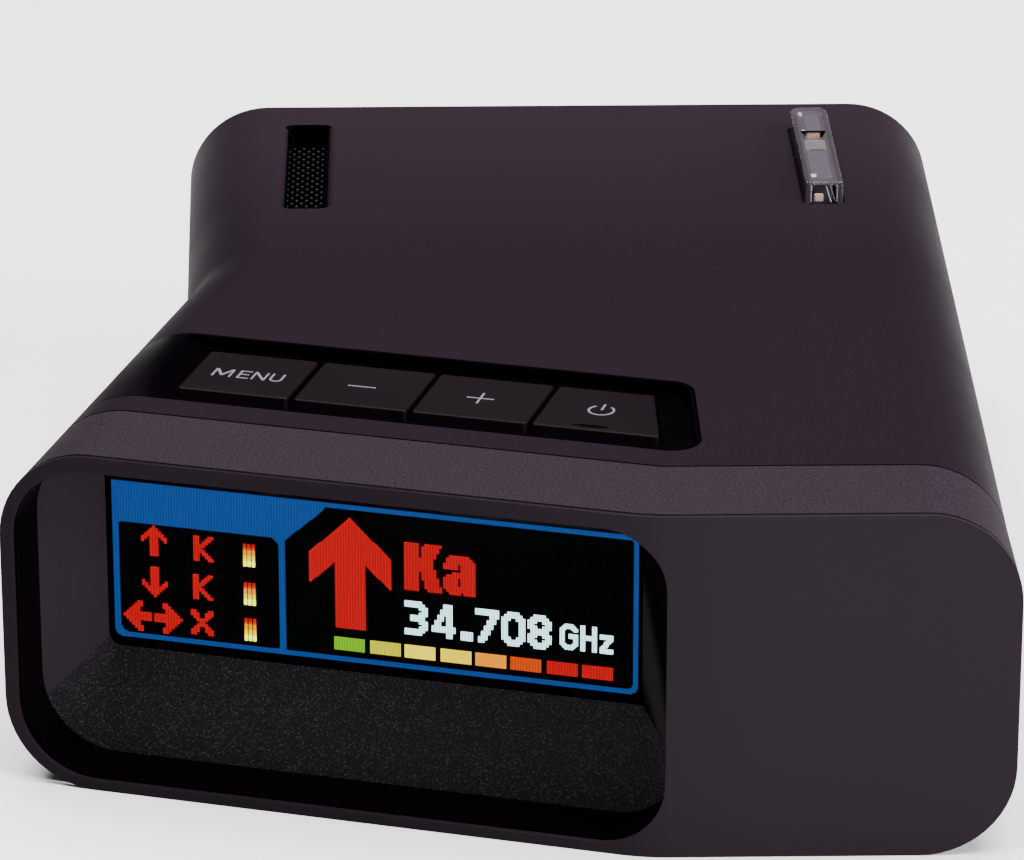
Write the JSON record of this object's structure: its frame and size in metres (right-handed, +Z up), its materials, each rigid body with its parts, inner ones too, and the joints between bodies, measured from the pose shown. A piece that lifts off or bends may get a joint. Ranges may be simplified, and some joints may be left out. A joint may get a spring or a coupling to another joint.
{
  "type": "radar detector",
  "caption": "Dashboard radar and laser detector with an angled colour display, a row of keys on top and side sockets.",
  "frame": {"origin": "centre of the bounding box at the underside", "axes": "+Z up, +Y from the driver's display towards the road, +X to the driver's right"},
  "size_m": [0.0916, 0.114, 0.0347],
  "materials": {
    "satin_black": "moulded plastic with a warm black satin coat",
    "grained_black": "black plastic with a fine grain",
    "face_black": "smooth satin black coat",
    "gloss_black": "piano black gloss",
    "hood_black": "textured black, fine sparkle",
    "key_black": "smooth charcoal satin with pale printed marks",
    "screen_glass": "dark tinted clear window",
    "clear_acrylic": "clear moulded acrylic",
    "infrared_black": "dark red infrared-pass plastic",
    "board_green": "solder-masked circuit board",
    "cast_metal": "die-cast zinc alloy, bare",
    "sheet_metal": "tinned steel sheet",
    "black_part": "plain moulded black plastic",
    "ceramic": "fired ceramic",
    "cone_paper": "black paper cone",
    "ribbon": "amber flexible circuit",
    "wire_insulation": "red wire insulation",
    "screw_steel": "black zinc-plated steel"
  },
  "bodies": {
    "housing": {"top_cover": "satin_black", "bottom_cover": "grained_black", "front_band": "grained_black", "display_hood": "hood_black", "display_window": "screen_glass", "display_panel": "black_part", "display_ribbon": "ribbon", "button_tray": "gloss_black", "menu_switch": "black_part", "volume_down_switch": "black_part", "volume_up_switch": "black_part", "power_switch": "black_part", "key_board": "board_green", "mute_board": "board_green", "mute_switch": "black_part", "speaker_grille": "black_part", "speaker_frame": "cast_metal", "speaker_cone": "cone_paper", "speaker_magnet": "sheet_metal", "speaker_wires": "wire_insulation", "laser_light_pipe": "clear_acrylic", "rear_laser_sensor": "infrared_black", "rear_sensor_board": "board_green", "laser_window": "infrared_black", "laser_lens": "clear_acrylic", "front_laser_sensor": "infrared_black", "front_sensor_board": "board_green", "front_horn_antenna": "cast_metal", "rear_horn_antenna": "cast_metal", "microwave_board": "board_green", "shield_can": "sheet_metal", "gps_board": "board_green", "gps_antenna": "ceramic", "main_board": "board_green", "processor": "black_part", "supply_capacitor": "black_part", "supply_choke": "ceramic", "power_socket": "black_part", "power_contacts": "sheet_metal", "audio_socket": "black_part", "data_socket": "sheet_metal", "case_screw_front_left": "screw_steel", "case_screw_front_right": "screw_steel", "case_screw_rear_left": "screw_steel", "case_screw_rear_right": "screw_steel"},
    "face_plate": {"face_plate": "face_black"},
    "menu_key": {"menu_key": "key_black"},
    "volume_down_key": {"volume_down_key": "key_black"},
    "volume_up_key": {"volume_up_key": "key_black"},
    "power_key": {"power_key": "key_black"}
  },
  "joints": [
    {"name": "menu_press", "type": "slide", "parent": "housing", "child": "menu_key", "axis": [0, 0, -1], "range_m": [0, 0.0005], "stiffness_N_per_m": 800},
    {"name": "volume_down_press", "type": "slide", "parent": "housing", "child": "volume_down_key", "axis": [0, 0, -1], "range_m": [0, 0.0005], "stiffness_N_per_m": 800},
    {"name": "volume_up_press", "type": "slide", "parent": "housing", "child": "volume_up_key", "axis": [0, 0, -1], "range_m": [0, 0.0005], "stiffness_N_per_m": 800},
    {"name": "power_press", "type": "slide", "parent": "housing", "child": "power_key", "axis": [0, 0, -1], "range_m": [0, 0.0005], "stiffness_N_per_m": 800},
    {"name": "mute_rock", "type": "hinge", "parent": "housing", "child": "face_plate", "pos_m": [-0.0458, -0.03971, 0.016], "axis": [0, 0, 1], "range_deg": [0, 0.2], "stiffness_Nm_per_rad": 40}
  ]
}
